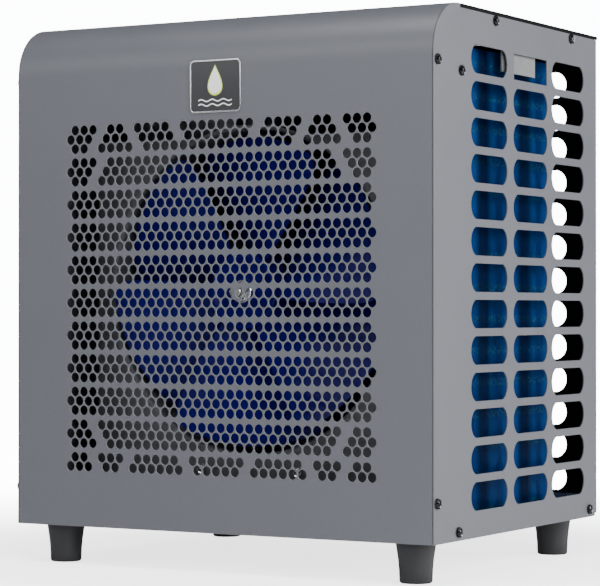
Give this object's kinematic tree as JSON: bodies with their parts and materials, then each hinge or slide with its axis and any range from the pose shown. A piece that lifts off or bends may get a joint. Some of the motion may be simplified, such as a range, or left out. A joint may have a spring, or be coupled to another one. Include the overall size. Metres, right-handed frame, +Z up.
{
  "type": "pool heat pump unit",
  "caption": "Small free-standing pool heat pump: grey sheet-metal casing on rubber feet, fan behind a punched front, slotted coil side, water unions at the back.",
  "frame": {"origin": "on the floor, at the centre of the bounding box's base; the casing's own centre is 18.45 mm nearer the front, because the water ports stand out at the back", "axes": "+Z up, -Y out of the punched front, +X out of the slotted coil side"},
  "size_m": [0.38, 0.3392, 0.431],
  "materials": {
    "casing_paint": "satin fine-texture powder coat",
    "side_paint": "satin fine-texture powder coat",
    "shroud_paint": "matt powder coat",
    "galvanised_steel": "spangled zinc coating",
    "shaft_steel": "ground steel",
    "bright_zinc": "bright zinc plate",
    "badge_face": "glossy printed plate with a metal rim",
    "black_nickel": "black nickel plate",
    "black_enamel": "semi-gloss black enamel",
    "rubber": "moulded black rubber",
    "fan_plastic": "translucent deep blue, finely textured",
    "fin_coating": "blue hydrophilic coating",
    "copper_tube": "drawn copper",
    "valve_brass": "turned brass",
    "grey_plastic": "moulded grey plastic",
    "black_plastic": "moulded black plastic",
    "circuit_board": "green solder mask",
    "display_window": "polished dark window"
  },
  "bodies": {
    "root": {"front_panel": "casing_paint", "front_flange_right": "casing_paint", "front_flange_left": "casing_paint", "top_cover": "casing_paint", "shroud_ring": "shroud_paint", "side_panel_right": "side_paint", "side_panel_left": "side_paint", "back_panel": "side_paint", "base_pan": "galvanised_steel", "foot_front_left": "rubber", "foot_front_right": "rubber", "foot_rear_left": "rubber", "foot_rear_right": "rubber", "fan_shroud": "shroud_paint", "fan_motor": "black_enamel", "motor_bracket": "black_enamel", "evaporator_fins": "fin_coating", "coil_end_plate": "galvanised_steel", "compressor": "black_enamel", "accumulator": "black_enamel", "heat_exchanger": "grey_plastic", "water_inlet_port": "grey_plastic", "water_outlet_port": "grey_plastic", "discharge_pipe": "copper_tube", "suction_pipe": "copper_tube", "liquid_pipe": "copper_tube", "coil_inlet_pipe": "copper_tube", "expansion_valve": "valve_brass", "control_box": "galvanised_steel", "control_board": "circuit_board", "controller_bezel": "black_plastic", "display_lens": "display_window", "cable_gland": "black_plastic", "drain_nipple": "black_plastic", "sensor_bracket": "side_paint", "badge_plate": "badge_face", "screw_right_top_front": "black_nickel", "screw_right_top_rear": "black_nickel", "screw_right_edge_upper": "black_nickel", "screw_right_edge_lower": "black_nickel", "screw_right_pan_front": "black_nickel", "screw_right_pan_rear": "black_nickel", "screw_right_shroud": "black_nickel", "screw_left_top_front": "black_nickel", "screw_left_top_rear": "black_nickel", "screw_left_edge_upper": "black_nickel", "screw_left_edge_lower": "black_nickel", "screw_left_pan_front": "black_nickel", "screw_left_pan_rear": "black_nickel", "shroud_screw_right": "bright_zinc", "shroud_screw_left": "bright_zinc"},
    "fan_rotor": {"fan": "fan_plastic", "fan_nut": "bright_zinc", "fan_washer": "bright_zinc", "motor_shaft": "shaft_steel"},
    "inlet_nut": {"inlet_union_nut": "black_plastic"},
    "outlet_nut": {"outlet_union_nut": "black_plastic"},
    "button_power": {"button_power": "grey_plastic"},
    "button_down": {"button_down": "grey_plastic"},
    "button_up": {"button_up": "grey_plastic"}
  },
  "joints": [
    {"name": "fan_spin", "type": "hinge", "parent": "root", "child": "fan_rotor", "pos_m": [0, -0.12945, 0.217], "axis": [0, -1, 0], "continuous": true},
    {"name": "inlet_nut_spin", "type": "hinge", "parent": "root", "child": "inlet_nut", "pos_m": [-0.128, 0.14755, 0.101], "axis": [0, 1, 0], "continuous": true},
    {"name": "outlet_nut_spin", "type": "hinge", "parent": "root", "child": "outlet_nut", "pos_m": [-0.128, 0.14755, 0.231], "axis": [0, 1, 0], "continuous": true},
    {"name": "button_power_press", "type": "slide", "parent": "root", "child": "button_power", "axis": [1, 0, 0], "range_m": [0, 0.0008], "stiffness_N_per_m": 400},
    {"name": "button_down_press", "type": "slide", "parent": "root", "child": "button_down", "axis": [1, 0, 0], "range_m": [0, 0.0008], "stiffness_N_per_m": 400},
    {"name": "button_up_press", "type": "slide", "parent": "root", "child": "button_up", "axis": [1, 0, 0], "range_m": [0, 0.0008], "stiffness_N_per_m": 400}
  ]
}
